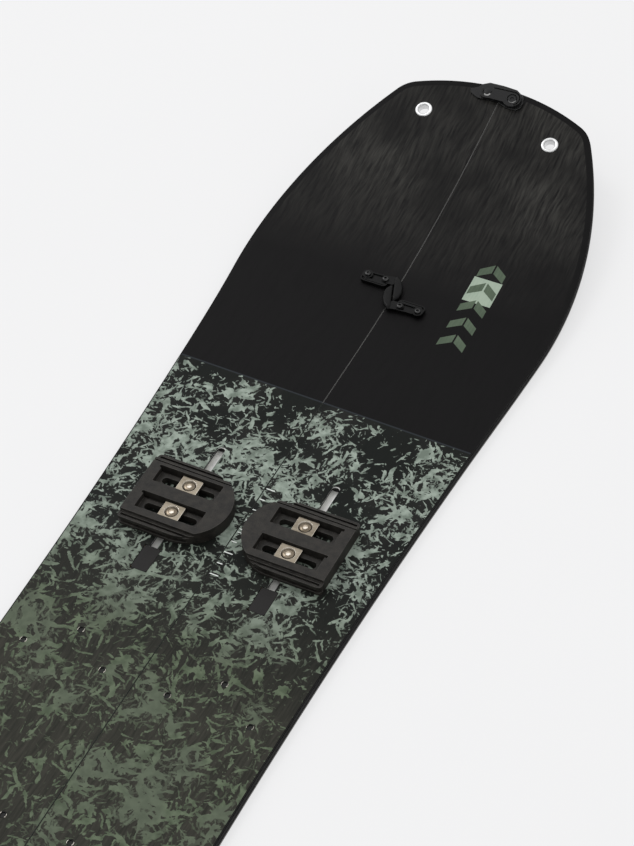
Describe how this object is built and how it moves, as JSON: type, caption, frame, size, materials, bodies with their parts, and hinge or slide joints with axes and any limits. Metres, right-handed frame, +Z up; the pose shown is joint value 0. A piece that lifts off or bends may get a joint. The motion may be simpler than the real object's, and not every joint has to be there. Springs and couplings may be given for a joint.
{
  "type": "splitboard",
  "caption": "Snowboard cut lengthwise into a left and a right ski, joined by board hooks and turning tip clips, with sliding plastic binding pucks screwed into channels in the deck.",
  "frame": {"origin": "middle of the board's length and width, on the plane of the base", "axes": "+Y to the nose, +X to the right half (as seen from above with the nose ahead), +Z up out of the topsheet"},
  "size_m": [0.3022, 1.5295, 0.0664],
  "materials": {
    "topsheet": "satin printed sheet, black nose, green splatter over grey behind it",
    "core": "plain",
    "base": "waxed polyethylene",
    "sidewall": "satin",
    "steel": "ground",
    "aluminium": "satin",
    "nickel": "satin nickel",
    "chrome": "bright",
    "puck": "moulded, fine grain",
    "plug": "moulded",
    "hook": "black, satin",
    "clip": "moulded, satin",
    "clip_base": "moulded, satin"
  },
  "bodies": {
    "left_ski": {"left_ski_topsheet": "topsheet", "left_ski_core": "core", "left_ski_base": "base", "left_ski_sidewall": "sidewall", "left_ski_steel_edge": "steel", "left_nose_grommet": "aluminium", "left_tail_grommet": "aluminium", "nose_clip_left_base": "clip_base", "tail_clip_left_base": "clip_base", "nose_clip_stud": "steel", "tail_clip_pivot": "steel", "front_hook_left": "hook", "rear_hook_left": "hook", "front_left_channel_rail": "aluminium", "front_left_channel_plug": "plug", "rear_left_channel_rail": "aluminium", "rear_left_channel_plug": "plug"},
    "right_ski": {"right_ski_topsheet": "topsheet", "right_ski_core": "core", "right_ski_base": "base", "right_ski_sidewall": "sidewall", "right_ski_steel_edge": "steel", "right_nose_grommet": "aluminium", "right_tail_grommet": "aluminium", "nose_clip_right_base": "clip_base", "tail_clip_right_base": "clip_base", "nose_clip_pivot": "steel", "tail_clip_stud": "steel", "front_hook_right": "hook", "rear_hook_right": "hook", "front_right_channel_rail": "aluminium", "front_right_channel_plug": "plug", "rear_right_channel_rail": "aluminium", "rear_right_channel_plug": "plug"},
    "nose_latch": {"nose_clip_latch": "clip"},
    "tail_latch": {"tail_clip_latch": "clip"},
    "front_left_carriage": {"front_left_slider_nut": "steel", "front_left_nose_washer": "nickel", "front_left_nose_screw": "chrome", "front_left_tail_washer": "nickel", "front_left_tail_screw": "chrome"},
    "front_left_puck": {"front_left_puck": "puck"},
    "front_right_carriage": {"front_right_slider_nut": "steel", "front_right_nose_washer": "nickel", "front_right_nose_screw": "chrome", "front_right_tail_washer": "nickel", "front_right_tail_screw": "chrome"},
    "front_right_puck": {"front_right_puck": "puck"},
    "rear_left_carriage": {"rear_left_slider_nut": "steel", "rear_left_nose_washer": "nickel", "rear_left_nose_screw": "chrome", "rear_left_tail_washer": "nickel", "rear_left_tail_screw": "chrome"},
    "rear_left_puck": {"rear_left_puck": "puck"},
    "rear_right_carriage": {"rear_right_slider_nut": "steel", "rear_right_nose_washer": "nickel", "rear_right_nose_screw": "chrome", "rear_right_tail_washer": "nickel", "rear_right_tail_screw": "chrome"},
    "rear_right_puck": {"rear_right_puck": "puck"}
  },
  "joints": [
    {"name": "split_slide", "type": "slide", "parent": "left_ski", "child": "right_ski", "axis": [0.342, -0.9397, 0], "range_m": [0, 0.3]},
    {"name": "nose_latch_turn", "type": "hinge", "parent": "right_ski", "child": "nose_latch", "pos_m": [0.0125, 0.75117, 0.06046], "axis": [0, -0.305, 0.9524], "range_deg": [0, 100]},
    {"name": "tail_latch_turn", "type": "hinge", "parent": "left_ski", "child": "tail_latch", "pos_m": [-0.0125, -0.7515, 0.05275], "axis": [0, 0.2589, 0.9659], "range_deg": [0, 100]},
    {"name": "front_left_channel_slide", "type": "slide", "parent": "left_ski", "child": "front_left_carriage", "axis": [0, 1, 0], "range_m": [-0.02, 0.04]},
    {"name": "front_left_puck_slide", "type": "slide", "parent": "front_left_carriage", "child": "front_left_puck", "axis": [1, 0, 0], "range_m": [-0.018, 0.007]},
    {"name": "front_right_channel_slide", "type": "slide", "parent": "right_ski", "child": "front_right_carriage", "axis": [0, 1, 0], "range_m": [-0.02, 0.04]},
    {"name": "front_right_puck_slide", "type": "slide", "parent": "front_right_carriage", "child": "front_right_puck", "axis": [1, 0, 0], "range_m": [-0.007, 0.018]},
    {"name": "rear_left_channel_slide", "type": "slide", "parent": "left_ski", "child": "rear_left_carriage", "axis": [0, 1, 0], "range_m": [-0.04, 0.02]},
    {"name": "rear_left_puck_slide", "type": "slide", "parent": "rear_left_carriage", "child": "rear_left_puck", "axis": [1, 0, 0], "range_m": [-0.018, 0.007]},
    {"name": "rear_right_channel_slide", "type": "slide", "parent": "right_ski", "child": "rear_right_carriage", "axis": [0, 1, 0], "range_m": [-0.04, 0.02]},
    {"name": "rear_right_puck_slide", "type": "slide", "parent": "rear_right_carriage", "child": "rear_right_puck", "axis": [1, 0, 0], "range_m": [-0.007, 0.018]}
  ]
}
